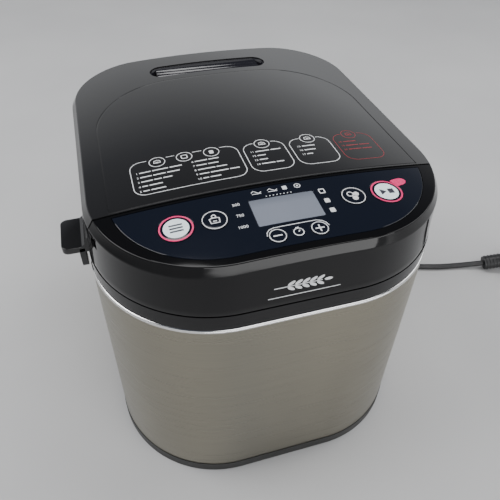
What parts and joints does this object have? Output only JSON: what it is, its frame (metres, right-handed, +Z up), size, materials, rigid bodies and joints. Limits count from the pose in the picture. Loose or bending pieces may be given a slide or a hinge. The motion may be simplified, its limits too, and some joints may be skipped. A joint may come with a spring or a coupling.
{
  "type": "bread machine",
  "caption": "Bread machine with a brushed steel body, crowned gloss-black lid with side grips, sloping push-button control panel, oven, lift-out pan, belt-driven paddle and mains lead.",
  "frame": {"origin": "on the floor, under the middle of the body", "axes": "+X to the right seen from the control panel, +Y to the back, +Z up"},
  "size_m": [0.5607, 0.4437, 0.269],
  "materials": {
    "black_gloss": "high gloss moulded plastic",
    "black_satin": "fine texture moulded plastic",
    "base_grey": "matt moulded plastic",
    "rubber": "matt",
    "steel_brushed": "horizontal brushing",
    "steel_polished": "polished",
    "film": "glossy printed film",
    "button_white": "glossy",
    "button_dark": "glossy",
    "display": "clear window over a grey display",
    "circuit": "solder resist",
    "electric": "moulded",
    "sheet_steel": "zinc plated",
    "aluminised": "satin",
    "pan_coating": "non-stick coating",
    "heater": "oxidised",
    "ceramic": "matt",
    "steel": "turned",
    "cast": "as cast",
    "bronze": "sintered",
    "nylon": "moulded",
    "seal": "silicone",
    "laminations": "stacked sheet",
    "cord": "satin"
  },
  "bodies": {
    "base": {"feet": "rubber", "base_pan": "base_grey", "case_screws": "steel", "steel_wrap": "steel_brushed", "rim_trim": "steel_polished", "top_frame": "black_satin", "panel_housing": "black_gloss", "panel_film": "film", "display_lens": "display", "display_module": "electric", "control_board": "circuit", "button_switches": "electric", "chassis_frame": "sheet_steel", "oven_chamber": "aluminised", "heating_element": "heater", "element_terminals": "ceramic", "temperature_sensor": "steel", "thermal_fuse": "ceramic", "pan_seat": "sheet_steel", "bearing_housing": "cast", "drive_bearings": "bronze", "drive_belt": "rubber", "motor_stator": "laminations", "motor_bells": "cast", "motor_screws": "steel", "run_capacitor": "electric", "power_board": "circuit", "board_parts": "electric", "hinge_brackets": "sheet_steel", "hinge_pins": "steel", "cord_gland": "cord", "strain_relief": "cord", "mains_cord": "cord", "cord_coil": "cord", "mains_plug": "cord"},
    "lid": {"lid_shell": "black_gloss", "vent_grille": "black_gloss", "lid_inner_frame": "black_satin", "lid_inner_plate": "aluminised", "lid_hinge_arms": "black_satin", "lid_screws": "steel"},
    "menu_button": {"button_menu": "button_white"},
    "weight_button": {"button_weight": "button_dark"},
    "minus_button": {"button_minus": "button_dark"},
    "plus_button": {"button_plus": "button_dark"},
    "crust_button": {"button_crust": "button_dark"},
    "start_button": {"button_start": "button_white"},
    "pan": {"bread_pan": "pan_coating", "pan_bush": "bronze", "shaft_seal": "seal"},
    "handle": {"pan_handle": "steel"},
    "pan_rotor": {"pan_shaft": "steel", "pan_coupling": "cast", "kneading_paddle": "pan_coating"},
    "drive": {"drive_shaft": "steel", "drive_coupler": "cast", "driven_pulley": "nylon"},
    "rotor": {"motor_shaft": "steel", "motor_rotor": "laminations", "motor_pulley": "nylon"}
  },
  "joints": [
    {"name": "lid_hinge", "type": "hinge", "parent": "base", "child": "lid", "pos_m": [0, 0.148, 0.232], "axis": [-1, 0, 0], "range_deg": [0, 95]},
    {"name": "menu_press", "type": "slide", "parent": "base", "child": "menu_button", "axis": [0, -0.0698, 0.9976], "range_m": [-0.001, 0], "stiffness_N_per_m": 800},
    {"name": "weight_press", "type": "slide", "parent": "base", "child": "weight_button", "axis": [0, -0.0698, 0.9976], "range_m": [-0.001, 0], "stiffness_N_per_m": 800},
    {"name": "minus_press", "type": "slide", "parent": "base", "child": "minus_button", "axis": [0, -0.0698, 0.9976], "range_m": [-0.001, 0], "stiffness_N_per_m": 800},
    {"name": "plus_press", "type": "slide", "parent": "base", "child": "plus_button", "axis": [0, -0.0698, 0.9976], "range_m": [-0.001, 0], "stiffness_N_per_m": 800},
    {"name": "crust_press", "type": "slide", "parent": "base", "child": "crust_button", "axis": [0, -0.0698, 0.9976], "range_m": [-0.001, 0], "stiffness_N_per_m": 800},
    {"name": "start_press", "type": "slide", "parent": "base", "child": "start_button", "axis": [0, -0.0698, 0.9976], "range_m": [-0.001, 0], "stiffness_N_per_m": 800},
    {"name": "pan_lift", "type": "slide", "parent": "base", "child": "pan", "axis": [0, 0, 1], "range_m": [0, 0.01]},
    {"name": "handle_swing", "type": "hinge", "parent": "pan", "child": "handle", "pos_m": [0, 0.033, 0.191], "axis": [1, 0, 0], "range_deg": [0, 86]},
    {"name": "pan_spin", "type": "hinge", "parent": "pan", "child": "pan_rotor", "pos_m": [0, 0.033, 0.07], "axis": [0, 0, 1], "continuous": true},
    {"name": "drive_spin", "type": "hinge", "parent": "base", "child": "drive", "pos_m": [0, 0.033, 0.02], "axis": [0, 0, 1], "continuous": true},
    {"name": "motor_spin", "type": "hinge", "parent": "base", "child": "rotor", "pos_m": [-0.062, -0.108, 0.02], "axis": [0, 0, 1], "continuous": true}
  ],
  "couplings": [
    {"joint": "drive_spin", "follows": "motor_spin", "ratio": 0.16667},
    {"joint": "pan_spin", "follows": "motor_spin", "ratio": 0.16667},
    {"joint": "handle_swing", "follows": "lid_hinge", "ratio": 0.9}
  ]
}
